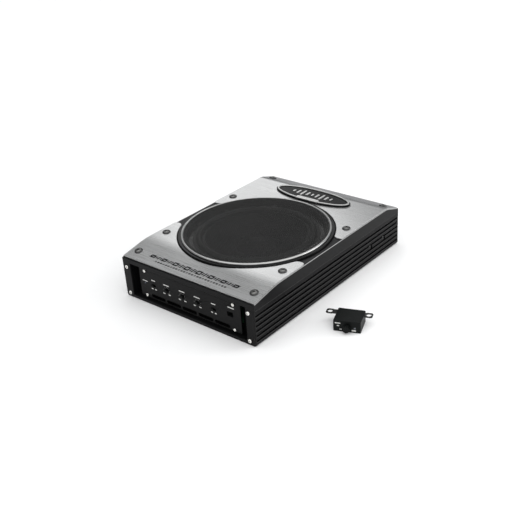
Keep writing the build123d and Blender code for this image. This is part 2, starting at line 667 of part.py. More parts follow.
with BuildPart() as grille:
    foot = BEZEL_TOP_Z
    with BuildSketch(WOOFER_SIDE):
        with BuildLine():
            for inset in (0, MESH_THICKNESS):
                rim, shoulder_z = MESH_RADIUS - inset, MESH_SHOULDER_Z - inset
                corner = MESH_CORNER - inset
                Line((rim, foot), (rim, foot + 0.8))
                ThreePointArc((rim, foot + 0.8), (rim - corner * 0.28, shoulder_z - 1.0),
                              (rim - corner, shoulder_z))
                crown(MESH_RADIUS - MESH_CORNER, shoulder_z, MESH_TOP_Z - inset)
            Line((MESH_RADIUS, foot), (MESH_RADIUS - MESH_THICKNESS, foot))
            Line((0, MESH_TOP_Z), (0, MESH_TOP_Z - MESH_THICKNESS))
        make_face()
    revolve(axis=WOOFER_AXIS)
save(grille.part, "grille")

# ---- Badge ------------------------------------------------------------------------------
BADGE_Z = ROOF_Z + PLATE
badge_plane = Plane(origin=(0, BADGE_Y, BADGE_Z))


def oval(plane, inset):
    """Badge outline, set in by inset."""
    with BuildSketch(plane) as made:
        Ellipse(BADGE_HALF_LENGTH - inset, BADGE_HALF_WIDTH - inset)
    return made.sketch


with BuildPart() as badge_base:
    extrude(oval(badge_plane.offset(-1), 0), amount=3.0)
    extrude(roof_side(PLATE, SEAM_Z), amount=HALF_WIDTH, both=True, mode=Mode.SUBTRACT)
save(badge_base.part, "badge_base")

BAR_HEIGHTS = (7.0, 12.0, 18.0, 12.0, 7.0, 12.0, 18.0, 12.0, 7.0)
BAR_PITCH, BAR_WIDTH = 9.0, 3.2
PLAQUE_CENTRE, PLAQUE_SIZE = (3.0, 103.8 - BADGE_Y), (42.0, 8.0)
with BuildPart() as badge_rim:
    extrude(oval(badge_plane.offset(2), BADGE_RIM[0]), amount=1.5)
    extrude(oval(badge_plane.offset(2), BADGE_RIM[1]), amount=1.5, mode=Mode.SUBTRACT)
    rim_top = badge_rim.faces().sort_by(Axis.Z)[-1]
    fillet(rim_top.edges(), radius=0.7)
    extrude(rect(badge_plane.offset(2), *PLAQUE_CENTRE, *PLAQUE_SIZE, corner=2.8), amount=2.2)
    for i, height in enumerate(BAR_HEIGHTS):
        bar_x = (i - (len(BAR_HEIGHTS) - 1) / 2) * BAR_PITCH
        extrude(rect(badge_plane.offset(2), bar_x, 0, BAR_WIDTH, height, corner=1.2), amount=1.0)
save(badge_rim.part, "badge_rim")

# ---- Woofer -----------------------------------------------------------------------------
YOKE_Z, MAGNET_Z, FRONT_PLATE_Z, BASKET_Z = 4.5, 10.0, 24.0, 30.0
LEDGE_Z = 38.0

with BuildPart() as woofer_gasket:
    extrude(ring(woofer_level(SEAT_Z), FLANGE_RADIUS, 95.5), amount=FLANGE_Z - SEAT_Z)
    with BuildSketch(woofer_level(SEAT_Z)):
        with PolarLocations(WOOFER_SCREW_RADIUS, 8, start_angle=22.5):
            Circle(2.2)
    extrude(amount=2.0, mode=Mode.SUBTRACT)
save(woofer_gasket.part, "woofer_gasket")

with BuildPart() as woofer_basket:
    basket_outline = turned_outline(
        (FLANGE_RADIUS, FLANGE_Z), (FLANGE_RADIUS, FLANGE_TOP), (91.5, FLANGE_TOP),
        (60.7, LEDGE_Z), (48.5, LEDGE_Z), (48.5, BASKET_Z + 2), (30.0, BASKET_Z + 2),
        (30.0, BASKET_Z), (50.0, BASKET_Z), (50.0, LEDGE_Z - 2), (62.3, LEDGE_Z - 2),
        (93.2, FLANGE_Z),
    )
    revolve(basket_outline, axis=WOOFER_AXIS)
    with BuildSketch(woofer_level(43.0)):
        with PolarLocations(80.0, 8, start_angle=22.5):
            Rectangle(40.0, 30.0)
    extrude(amount=15.0, mode=Mode.SUBTRACT)
    with BuildSketch(woofer_level(FLANGE_TOP)):
        with PolarLocations(WOOFER_SCREW_RADIUS, 8, start_angle=22.5):
            Circle(2.2)
    extrude(amount=-2.0, mode=Mode.SUBTRACT)
save(woofer_basket.part, "woofer_basket")

woofer_screw = pan_screw(3.2, 2.0, 1.85, 6.0)
with BuildPart() as woofer_screws:
    with Locations(woofer_level(FLANGE_TOP)):
        with PolarLocations(WOOFER_SCREW_RADIUS, 8, start_angle=22.5):
            add(woofer_screw)
save(woofer_screws.part, "woofer_screws")

with BuildPart() as yoke:
    yoke_outline = turned_outline(
        (6.0, YOKE_Z), (50.0, YOKE_Z), (50.0, MAGNET_Z), (18.6, MAGNET_Z),
        (18.6, BASKET_Z), (6.0, BASKET_Z),
    )
    revolve(yoke_outline, axis=WOOFER_AXIS)
save(yoke.part, "yoke")

with BuildPart() as magnet:
    extrude(ring(woofer_level(MAGNET_Z), 55.0, 27.0), amount=FRONT_PLATE_Z - MAGNET_Z)
save(magnet.part, "magnet")

with BuildPart() as magnet_front_plate:
    extrude(ring(woofer_level(FRONT_PLATE_Z), 50.0, 20.9), amount=BASKET_Z - FRONT_PLATE_Z)
save(magnet_front_plate.part, "magnet_front_plate")

FORMER_BOTTOM, FORMER_TOP = 18.0, 45.0
with BuildPart() as voice_coil_former:
    former = ring(woofer_level(FORMER_BOTTOM), FORMER_RADIUS, FORMER_RADIUS - FORMER_WALL)
    extrude(former, amount=FORMER_TOP - FORMER_BOTTOM)
save(voice_coil_former.part, "voice_coil_former")

with BuildPart() as voice_coil:
    extrude(ring(woofer_level(FORMER_BOTTOM + 2), 20.3, FORMER_RADIUS), amount=14.0)
save(voice_coil.part, "voice_coil")

RIM_Z = FLANGE_TOP                              # underside of the surround
with BuildPart() as cone:
    cone_outline = turned_outline(
        (FORMER_RADIUS, 42.0), (FORMER_RADIUS, 44.0), (77.0, RIM_Z), (CONE_RADIUS, RIM_Z),
        (CONE_RADIUS, RIM_Z - 0.9), (77.4, RIM_Z - 0.9), (20.9, 42.6),
    )
    revolve(cone_outline, axis=WOOFER_AXIS)
save(cone.part, "cone")

CAP_RADIUS, CAP_RISE, CAP_WALL = 32.0, 7.0, 0.8
with BuildPart() as dust_cap:
    cone_rise = (CAP_RADIUS - FORMER_RADIUS) * (RIM_Z - 44.0) / (77.0 - FORMER_RADIUS)
    foot = 44.0 + cone_rise + 0.5
    with BuildSketch(WOOFER_SIDE):
        with BuildLine():
            crown(CAP_RADIUS, foot, foot + CAP_RISE)
            crown(CAP_RADIUS - CAP_WALL, foot, foot + CAP_RISE - CAP_WALL)
            Line((CAP_RADIUS, foot), (CAP_RADIUS - CAP_WALL, foot))
            Line((0, foot + CAP_RISE), (0, foot + CAP_RISE - CAP_WALL))
        make_face()
    revolve(axis=WOOFER_AXIS)
save(dust_cap.part, "dust_cap")

ROLL_CENTRE, ROLL_RADIUS, ROLL_WALL = 86.0, 5.5, 0.8
with BuildPart() as surround:
    with BuildSketch(WOOFER_SIDE):
        with BuildLine():
            inner_lip, outer_lip = 77.4, 96.0
            near, far = ROLL_CENTRE - ROLL_RADIUS, ROLL_CENTRE + ROLL_RADIUS
            lip_z = RIM_Z + ROLL_WALL
            Polyline((near + ROLL_WALL, RIM_Z), (inner_lip, RIM_Z), (inner_lip, lip_z), (near, lip_z))
            ThreePointArc((near, lip_z), (ROLL_CENTRE, RIM_Z + ROLL_RADIUS), (far, lip_z))
            Polyline((far, lip_z), (outer_lip, lip_z), (outer_lip, RIM_Z), (far - ROLL_WALL, RIM_Z))
            ThreePointArc((far - ROLL_WALL, RIM_Z), (ROLL_CENTRE, RIM_Z + ROLL_RADIUS - ROLL_WALL),
                          (near + ROLL_WALL, RIM_Z))
        make_face()
    revolve(axis=WOOFER_AXIS)
save(surround.part, "surround")

with BuildPart() as spider:
    spider_outline = turned_outline(
        (FORMER_RADIUS, LEDGE_Z), (FORMER_RADIUS, LEDGE_Z + 0.8), (26.0, LEDGE_Z + 0.8),
        (30.0, LEDGE_Z + 2.6), (36.0, LEDGE_Z + 0.8), (42.0, LEDGE_Z + 2.6), (48.0, LEDGE_Z + 0.8),
        (59.0, LEDGE_Z + 0.8), (59.0, LEDGE_Z), (47.7, LEDGE_Z), (42.0, LEDGE_Z + 1.7),
        (36.0, LEDGE_Z), (30.0, LEDGE_Z + 1.7), (26.3, LEDGE_Z),
    )
    revolve(spider_outline, axis=WOOFER_AXIS)
save(spider.part, "spider")

LEAD_X, LEAD_RADIUS = (-6.0, 6.0), 1.2
TAG_END_Y = 41.7
with BuildPart() as speaker_leads:
    tag_strip = span(level(LEDGE_Z - 6), -10, 10, WOOFER_Y + 51.0, TAG_END_Y)
    extrude(tag_strip, amount=4.0)
    for x in LEAD_X:
        with BuildLine() as lead:
            FilletPolyline(
                (x, TAG_END_Y, 34.0), (x, 58.0, 34.0), (x, 82.0, 20.0), (x, 104.0, 20.0),
                (x, 104.0, AMP_BOARD_TOP), radius=[12.0, 12.0, 6.0],
            )
        start = Plane(origin=(x, TAG_END_Y, 34.0), z_dir=(0, 1, 0))
        sweep(discs(start, LEAD_RADIUS), path=lead.line)
save(speaker_leads.part, "speaker_leads")

# ---- Amplifier --------------------------------------------------------------------------
HEAT_SINK_Y = sum(HEAT_SINK_SCREW_Y) / 2
with BuildPart() as amp_board:
    extrude(span(level(AMP_BOARD_Z), -88, 88, *AMP_BOARD_Y), amount=BOARD)
    extrude(span(level(AMP_BOARD_Z), 80, 110.5, AMP_BOARD_Y[0], 144), amount=BOARD)
    extrude(discs(level(AMP_BOARD_Z), 1.6, PILLARS), amount=BOARD, mode=Mode.SUBTRACT)
save(amp_board.part, "amp_board")

with BuildPart() as toroid:
    extrude(discs(level(AMP_BOARD_TOP), 22.0, [(-45, 125)]), amount=18.0)
    fillet(toroid.faces().sort_by(Axis.Z)[-1].edges(), radius=5.0)
    extrude(discs(level(AMP_BOARD_TOP), 8.0, [(-45, 125)]), amount=18.0, mode=Mode.SUBTRACT)
save(toroid.part, "toroid")

with BuildPart() as capacitors:
    cans = [(x, y) for x in (0, 24) for y in (120, 142)]
    extrude(discs(level(AMP_BOARD_TOP), 9.0, cans), amount=35.0)
    fillet(capacitors.faces().sort_by(Axis.Z)[-4:].edges(), radius=1.2)
save(capacitors.part, "capacitors")

TRANSISTOR_Y = (HEAT_SINK_Y - 8.15, HEAT_SINK_Y + 8.15)
with BuildPart() as transistors:
    for y in TRANSISTOR_Y:
        case = span(level(16), RAIL_INNER_X - 5, RAIL_INNER_X, y - 8, y + 8)
        extrude(case, amount=20.0)
        with BuildSketch(level(AMP_BOARD_TOP)):
            with Locations((RAIL_INNER_X - 2.8, y)):
                with GridLocations(1, 5.45, 1, 3):
                    Rectangle(0.6, 1.2)
        extrude(amount=16 - AMP_BOARD_TOP)
save(transistors.part, "transistors")

CLAMP_X = (RAIL_INNER_X - 8.5, RAIL_INNER_X - 5)
with BuildPart() as transistor_clamp:
    extrude(span(level(22), *CLAMP_X, HEAT_SINK_Y - 25, HEAT_SINK_Y + 25), amount=10.0)
    places = [(y, HEAT_SINK_SCREW_Z) for y in HEAT_SINK_SCREW_Y]
    extrude(discs(facing_side(CLAMP_X[1], 1), 2.05, places), amount=-5.0, mode=Mode.SUBTRACT)
save(transistor_clamp.part, "transistor_clamp")

heat_sink_screw = pan_screw(3.0, 2.4, 2.0, 17.5)
heat_sink_places = [Plane(origin=(HALF_WIDTH - 3.8, y, HEAT_SINK_SCREW_Z), x_dir=(0, 1, 0),
                          z_dir=(1, 0, 0)) for y in HEAT_SINK_SCREW_Y]
save(set_out(heat_sink_screw, heat_sink_places), "heat_sink_screws")

# ---- Sockets and fuse at the power end --------------------------------------------------
socket_plane = Plane(origin=(0, SOCKET_FACE_Y, 0), x_dir=(-1, 0, 0), z_dir=(0, 1, 0))
POWER_Z = AMP_BOARD_TOP + POWER_SIZE[1] / 2
HIGH_LEVEL_Z = AMP_BOARD_TOP + HIGH_LEVEL_SIZE[1] / 2
POWER_CAVITY_DEPTH, HIGH_LEVEL_CAVITY_DEPTH = 14.0, 11.0

with BuildPart() as rear_sockets:
    add(socket_block(socket_plane, -POWER_X, POWER_Z, POWER_SIZE, (26.0, 14.0), 22.5,
                     POWER_CAVITY_DEPTH))
    add(socket_block(socket_plane, -HIGH_LEVEL_X, HIGH_LEVEL_Z, HIGH_LEVEL_SIZE, (16.0, 8.0), 18.5,
                     HIGH_LEVEL_CAVITY_DEPTH))
    extrude(span(level(AMP_BOARD_TOP), 0, 32, 160, 174.4), amount=16.0)
save(rear_sockets.part, "rear_sockets")

with BuildPart() as connector_pins:
    power_floor = socket_plane.offset(-POWER_CAVITY_DEPTH)
    with BuildSketch(power_floor):
        with Locations((-POWER_X, POWER_Z)):
            with GridLocations(8.0, 1, 3, 1):
                Rectangle(1.6, 4.0)
    extrude(amount=11.0)
    high_floor = socket_plane.offset(-HIGH_LEVEL_CAVITY_DEPTH)
    with BuildSketch(high_floor):
        with Locations((-HIGH_LEVEL_X, HIGH_LEVEL_Z - 2.4)):
            with GridLocations(4.0, 1, 4, 1):
                Rectangle(1.0, 1.0)
    extrude(amount=9.0)
save(connector_pins.part, "connector_pins")

with BuildPart() as rca_jacks:
    jack_plane = Plane(origin=(0, 174.4, 0), x_dir=(-1, 0, 0), z_dir=(0, 1, 0))
    places = [(-x, RCA_Z) for x in RCA_X]
    extrude(discs(jack_plane, 5.5, places), amount=HALF_LENGTH - 174.4 - 0.1)
    extrude(discs(jack_plane, RCA_RADIUS + 0.2, places), amount=REAR_FACE_Y - 174.4)
    extrude(discs(jack_plane, RCA_RADIUS, places), amount=12.6)
    extrude(discs(jack_plane.offset(12.6), 3.3, places), amount=-8.0, mode=Mode.SUBTRACT)
    extrude(discs(jack_plane.offset(4.6), 2.3, places), amount=7.4)
    extrude(discs(jack_plane.offset(12.6), 1.6, places), amount=-8.0, mode=Mode.SUBTRACT)
save(rca_jacks.part, "rca_jacks")

with BuildPart() as fuse_holder:
    extrude(span(level(AMP_BOARD_TOP), FUSE_X - 13, FUSE_X + 13, 158, HALF_LENGTH), amount=12.0)
    mouth = facing_front(HALF_LENGTH)
    extrude(rect(mouth, FUSE_X, FUSE_Z, 20.0, 6.0), amount=7.0, mode=Mode.SUBTRACT)
    for x in (FUSE_X - 6.5, FUSE_X + 6.5):
        extrude(rect(mouth, x, FUSE_Z, 5.8, 1.6), amount=16.0, mode=Mode.SUBTRACT)
save(fuse_holder.part, "fuse_holder")

FUSE_BACK_Y = HALF_LENGTH - 6.5
with BuildPart() as fuse:
    body = rect(facing_front(FUSE_BACK_Y), FUSE_X, FUSE_Z, 19.0, 5.2)
    extrude(body, amount=-13.0)
    fillet(fuse.edges().filter_by(Axis.Y), radius=0.8)
    for x in (FUSE_X - 6.5, FUSE_X + 6.5):
        extrude(rect(facing_front(FUSE_BACK_Y), x, FUSE_Z, 5.1, 0.8), amount=8.5)
save(fuse.part, "fuse")

# ---- Remote level control ---------------------------------------------------------------
HALF_DEPTH = REMOTE_DEPTH / 2
REMOTE_SOCKET_Z = 7.6

with BuildPart() as remote_case:
    outer = rect(remote_level(REMOTE_WALL), 0, 0, REMOTE_WIDTH, REMOTE_DEPTH, corner=1.5)
    extrude(outer, amount=REMOTE_HEIGHT - REMOTE_WALL)
    fillet(remote_case.faces().sort_by(Axis.Z)[-1].edges(), radius=1.0)
    inner = rect(remote_level(REMOTE_WALL), 0, 0, REMOTE_WIDTH - 2 * REMOTE_WALL,
                 REMOTE_DEPTH - 2 * REMOTE_WALL)
    extrude(inner, amount=REMOTE_HEIGHT - 2 * REMOTE_WALL, mode=Mode.SUBTRACT)
    shaft_hole = discs(REMOTE_FRONT.offset(HALF_DEPTH), REMOTE_SHAFT_RADIUS + 0.4,
                       [(0, REMOTE_SHAFT_Z)])
    extrude(shaft_hole, amount=-4.0, mode=Mode.SUBTRACT)
    lamp_hole = discs(REMOTE_FRONT.offset(HALF_DEPTH), 1.5, [(11, REMOTE_SHAFT_Z)])
    extrude(lamp_hole, amount=-4.0, mode=Mode.SUBTRACT)
    socket_hole = rect(REMOTE_FRONT.offset(-HALF_DEPTH), 0, REMOTE_SOCKET_Z, 10.4, 7.3)
    extrude(socket_hole, amount=4.0, mode=Mode.SUBTRACT)
    strap_slot = rect(remote_level(EAR_Z - 0.1), 0, BRACKET_CENTRE[1], REMOTE_WIDTH + 2,
                      STRAP_SIZE[1] + 0.2)
    extrude(strap_slot, amount=EAR_THICKNESS + 0.2, mode=Mode.SUBTRACT)
save(remote_case.part, "remote_case")

with BuildPart() as remote_base:
    extrude(rect(remote_level(0), 0, 0, REMOTE_WIDTH, REMOTE_DEPTH, corner=1.5), amount=REMOTE_WALL)
    with BuildSketch(remote_level(REMOTE_WALL)):
        with GridLocations(18.0, 20.0, 2, 2):
            Circle(2.0)
    extrude(amount=0.7)
save(remote_base.part, "remote_base")

with BuildPart() as remote_bracket:
    with BuildSketch(remote_level(EAR_Z)):
        with Locations(BRACKET_CENTRE):
            Rectangle(*STRAP_SIZE)
            with Locations((-EAR_X, 0), (EAR_X, 0)):
                RectangleRounded(*EAR_SIZE, 3.0)
                Circle(EAR_HOLE_RADIUS, mode=Mode.SUBTRACT)
    extrude(amount=EAR_THICKNESS)
save(remote_bracket.part, "remote_bracket")

REMOTE_BOARD_Z = REMOTE_WALL + 0.7
REMOTE_BOARD_TOP = REMOTE_BOARD_Z + 1.2
with BuildPart() as remote_board:
    extrude(span(remote_level(REMOTE_BOARD_Z), -14, 14, -14.8, 14.8), amount=1.2)
    extrude(span(remote_level(REMOTE_BOARD_TOP), -5, 5, -14.8, -6), amount=8.0)
    extrude(span(remote_level(REMOTE_BOARD_TOP), -6.5, 6.5, 4, 14.8), amount=8.4)
    bore = discs(REMOTE_FRONT.offset(14.8), REMOTE_SHAFT_RADIUS + SHAFT_FIT, [(0, REMOTE_SHAFT_Z)])
    extrude(bore, amount=-6.5, mode=Mode.SUBTRACT)
    cavity = rect(REMOTE_FRONT.offset(-14.8), 0, REMOTE_SOCKET_Z, 9.6, 6.5)
    extrude(cavity, amount=9.5, mode=Mode.SUBTRACT)
save(remote_board.part, "remote_board")

with BuildPart() as remote_led:
    lamp = discs(REMOTE_FRONT.offset(HALF_DEPTH + 0.5), 1.4, [(11, REMOTE_SHAFT_Z)])
    extrude(lamp, amount=-7.0)
    fillet(remote_led.faces().sort_by(Axis.Y)[0].edges(), radius=0.5)
    leg = span(remote_level(REMOTE_BOARD_TOP), 10.3, 11.7, 2 - HALF_DEPTH, 5 - HALF_DEPTH)
    extrude(leg, amount=REMOTE_SHAFT_Z - 1 - REMOTE_BOARD_TOP)
save(remote_led.part, "remote_led")

REMOTE_GRIP_GAP = 0.5
REMOTE_GRIP_RADIUS, REMOTE_GRIP_LENGTH = 5.0, 6.1
grip_back = REMOTE_FRONT.offset(HALF_DEPTH + REMOTE_GRIP_GAP).origin
remote_grip = Plane(origin=grip_back + Vector(0, 0, REMOTE_SHAFT_Z), x_dir=REMOTE.x_dir,
                    z_dir=-REMOTE.y_dir)
with BuildPart() as remote_knob:
    extrude(discs(remote_grip, REMOTE_GRIP_RADIUS), amount=REMOTE_GRIP_LENGTH)
    extrude(discs(remote_grip, REMOTE_SHAFT_RADIUS), amount=-8.0)
    with BuildSketch(remote_grip):
        with PolarLocations(REMOTE_GRIP_RADIUS + 0.4, 14):
            Circle(0.8)
    extrude(amount=REMOTE_GRIP_LENGTH, mode=Mode.SUBTRACT)
    with BuildSketch(remote_grip.offset(REMOTE_GRIP_LENGTH)):
        with Locations((0, 2.4)):
            Rectangle(0.9, 4.0)
    extrude(amount=-0.6, mode=Mode.SUBTRACT)
save(remote_knob.part, "remote_knob")
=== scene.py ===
import json
from math import atan2, cos, pi, radians, sin, sqrt

import bpy
from mathutils import Matrix, Vector


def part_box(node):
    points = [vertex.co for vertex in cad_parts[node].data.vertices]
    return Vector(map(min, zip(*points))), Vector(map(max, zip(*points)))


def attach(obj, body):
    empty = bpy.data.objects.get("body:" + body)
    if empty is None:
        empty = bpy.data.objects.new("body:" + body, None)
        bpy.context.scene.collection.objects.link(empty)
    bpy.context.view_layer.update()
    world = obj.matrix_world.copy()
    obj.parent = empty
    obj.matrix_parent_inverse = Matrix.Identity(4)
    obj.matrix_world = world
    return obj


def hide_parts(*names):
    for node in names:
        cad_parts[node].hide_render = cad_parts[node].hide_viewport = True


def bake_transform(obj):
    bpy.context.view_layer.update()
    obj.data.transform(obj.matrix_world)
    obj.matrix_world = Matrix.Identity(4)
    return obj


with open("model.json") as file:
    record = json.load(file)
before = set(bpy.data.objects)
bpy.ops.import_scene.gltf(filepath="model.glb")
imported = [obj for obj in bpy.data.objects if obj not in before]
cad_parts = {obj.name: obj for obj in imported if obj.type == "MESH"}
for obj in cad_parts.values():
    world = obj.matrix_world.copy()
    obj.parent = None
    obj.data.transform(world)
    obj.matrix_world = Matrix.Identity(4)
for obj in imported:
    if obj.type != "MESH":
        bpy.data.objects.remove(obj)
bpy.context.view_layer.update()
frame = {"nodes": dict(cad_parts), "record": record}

# The looks of a slim powered car subwoofer and its remote level control. Metres, +Z up.
# The control end faces -Y, and the finned side with two screws faces +X.

MM = 0.001
scene = bpy.context.scene


# ---- Camera -----------------------------------------------------------------------------
CAMERA_AZIMUTH, CAMERA_ELEVATION, CAMERA_ROLL = radians(41.17), radians(28.1), radians(-4.01)
CAMERA_DISTANCE = 1.22396
CAMERA_TARGET = Vector((0.02276, -0.04265, 0.040))
LENS = 57.24


def make_camera():
    """Camera at the angle from which the product is shown, a few degrees rolled."""
    back = Vector((sin(CAMERA_AZIMUTH) * cos(CAMERA_ELEVATION),
                   -cos(CAMERA_AZIMUTH) * cos(CAMERA_ELEVATION), sin(CAMERA_ELEVATION)))
    right = Vector((cos(CAMERA_AZIMUTH), sin(CAMERA_AZIMUTH), 0))
    up = back.cross(right)
    rolled_right = right * cos(CAMERA_ROLL) + up * sin(CAMERA_ROLL)
    rolled_up = up * cos(CAMERA_ROLL) - right * sin(CAMERA_ROLL)
    data = bpy.data.cameras.new("camera")
    data.lens = LENS
    data.sensor_width = 36.0
    data.clip_start, data.clip_end = 0.01, 50.0
    camera = bpy.data.objects.new("camera", data)
    turn = Matrix((rolled_right, rolled_up, back)).transposed().to_4x4()
    camera.matrix_world = Matrix.Translation(CAMERA_TARGET + back * CAMERA_DISTANCE) @ turn
    scene.collection.objects.link(camera)
    scene.camera = camera


make_camera()


# ---- Materials --------------------------------------------------------------------------
def node_tree(name):
    """New material: its nodes, links, shader and object coordinates."""
    material = bpy.data.materials.new(name)
    material.use_nodes = True
    nodes, links = material.node_tree.nodes, material.node_tree.links
    shader = nodes["Principled BSDF"]
    coordinates = nodes.new("ShaderNodeTexCoord")
    return material, nodes, links, shader, coordinates.outputs["Object"]


def noise(nodes, links, vector, scale, stretch=(1, 1, 1), detail=3.0, roughness=0.55):
    """Noise over object space, stretched along an axis by a small factor there."""
    mapping = nodes.new("ShaderNodeMapping")
    mapping.inputs["Scale"].default_value = stretch
    texture = nodes.new("ShaderNodeTexNoise")
    texture.inputs["Scale"].default_value = scale
    texture.inputs["Detail"].default_value = detail
    texture.inputs["Roughness"].default_value = roughness
    links.new(vector, mapping.inputs["Vector"])
    links.new(mapping.outputs["Vector"], texture.inputs["Vector"])
    return texture.outputs["Fac"]


def spread(nodes, links, value, low, high, start=0.3, end=0.7):
    """A noise value mapped from its usual start and end to low and high."""
    ranged = nodes.new("ShaderNodeMapRange")
    for socket, number in (("From Min", start), ("From Max", end), ("To Min", low), ("To Max", high)):
        ranged.inputs[socket].default_value = number
    links.new(value, ranged.inputs["Value"])
    return ranged.outputs["Result"]


def two_tone(nodes, links, value, dark, light):
    """Colour running from dark to light with a value between 0 and 1."""
    mix = nodes.new("ShaderNodeMix")
    mix.data_type = "RGBA"
    mix.inputs["A"].default_value = (*dark, 1)
    mix.inputs["B"].default_value = (*light, 1)
    links.new(value, mix.inputs["Factor"])
    return mix.outputs["Result"]


def bumps(nodes, links, shader, height, depth, strength=1.0):
    """Relief on the shader's normal, depth in metres."""
    bump = nodes.new("ShaderNodeBump")
    bump.inputs["Distance"].default_value = depth
    bump.inputs["Strength"].default_value = strength
    links.new(height, bump.inputs["Height"])
    links.new(bump.outputs["Normal"], shader.inputs["Normal"])


def add_painted_edge_highlight(nodes, links, colour, lighter):
    """Colour turned lighter where the surface faces half sideways and half upwards: a painted highlight on
    rounded edges.
    """
    geometry, split = nodes.new("ShaderNodeNewGeometry"), nodes.new("ShaderNodeSeparateXYZ")
    links.new(geometry.outputs["Normal"], split.inputs[0])
    product = nodes.new("ShaderNodeMath")
    product.operation = "MULTIPLY"
    links.new(split.outputs["X"], product.inputs[0])
    links.new(split.outputs["Z"], product.inputs[1])
    size = nodes.new("ShaderNodeMath")
    size.operation = "ABSOLUTE"
    links.new(product.outputs[0], size.inputs[0])
    mix = nodes.new("ShaderNodeMix")
    mix.data_type = "RGBA"
    mix.inputs["B"].default_value = (*lighter, 1)
    links.new(spread(nodes, links, size.outputs[0], 0, 1, 0.16, 0.34), mix.inputs["Factor"])
    links.new(colour, mix.inputs["A"])
    return mix.outputs["Result"]


def surface(name, colour, metallic, roughness, grain=900.0, depth=0.00002, stretch=(1, 1, 1),
            shade=0.12, rough_spread=0.06, cloud=25.0, painted_highlight=None, **sockets):
    """Finish with fine grain: its colour drifts slowly, and its gloss and relief follow the grain.
    Its long rounded edges may take a painted highlight in a lighter colour."""
    material, nodes, links, shader, vector = node_tree(name)
    drift = spread(nodes, links, noise(nodes, links, vector, cloud), 0, 1)
    dark = [c * (1 - shade) for c in colour]
    light = [min(1.0, c * (1 + shade)) for c in colour]
    body_colour = two_tone(nodes, links, drift, dark, light)
    # a lighter colour painted on rounded edges as a highlight
    if painted_highlight:
        body_colour = add_painted_edge_highlight(nodes, links, body_colour, painted_highlight)
    links.new(body_colour, shader.inputs["Base Color"])
    fine = noise(nodes, links, vector, grain, stretch, detail=2.0)
    rough = spread(nodes, links, fine, roughness - rough_spread, roughness + rough_spread)
    links.new(rough, shader.inputs["Roughness"])
    bumps(nodes, links, shader, fine, depth)
    shader.inputs["Metallic"].default_value = metallic
    for socket, value in sockets.items():
        shader.inputs[socket.replace("_", " ")].default_value = value
    return material


def brushed_plate():
    """Silver aluminium brushed across the unit, under a thin clear lacquer."""
    material, nodes, links, shader, vector = node_tree("brushed_silver")
    strokes = noise(nodes, links, vector, 1500.0, (0.012, 1, 1), detail=4.0, roughness=0.7)
    streaks = noise(nodes, links, vector, 260.0, (0.02, 1, 1), detail=3.0)
    tone = nodes.new("ShaderNodeMath")
    tone.operation = "MULTIPLY_ADD"
    tone.inputs[1].default_value = 0.8
    links.new(strokes, tone.inputs[0])
    links.new(spread(nodes, links, streaks, 0.0, 0.2), tone.inputs[2])
    colour = two_tone(nodes, links, tone.outputs[0], (0.42, 0.42, 0.415), (0.62, 0.625, 0.625))
    links.new(colour, shader.inputs["Base Color"])
    links.new(spread(nodes, links, strokes, 0.24, 0.36), shader.inputs["Roughness"])
    bumps(nodes, links, shader, strokes, 0.00002, 0.5)
    shader.inputs["Metallic"].default_value = 0.92
    shader.inputs["Anisotropic"].default_value = 0.45
    shader.inputs["Specular Tint"].default_value = (0.45, 0.45, 0.46, 1)    # dull at grazing angles
    return material


def cloth(name, dark, light, pitch):
    """Coarse resin-dipped weave."""
    material, nodes, links, shader, vector = node_tree(name)
    wave = nodes.new("ShaderNodeTexWave")
    wave.inputs["Scale"].default_value = 1 / pitch
    links.new(vector, wave.inputs["Vector"])
    links.new(two_tone(nodes, links, wave.outputs["Fac"], dark, light), shader.inputs["Base Color"])
    bumps(nodes, links, shader, wave.outputs["Fac"], 0.0002)
    shader.inputs["Roughness"].default_value = 0.85
    return material


def windings(name, dark, light, turns):
    """Enamelled wire laid side by side."""
    material, nodes, links, shader, vector = node_tree(name)
    wave = nodes.new("ShaderNodeTexWave")
    wave.bands_direction = "Z"
    wave.inputs["Scale"].default_value = turns
    links.new(vector, wave.inputs["Vector"])
    links.new(two_tone(nodes, links, wave.outputs["Fac"], dark, light), shader.inputs["Base Color"])
    bumps(nodes, links, shader, wave.outputs["Fac"], 0.0002)
    shader.inputs["Roughness"].default_value = 0.3
    shader.inputs["Metallic"].default_value = 0.8
    return material


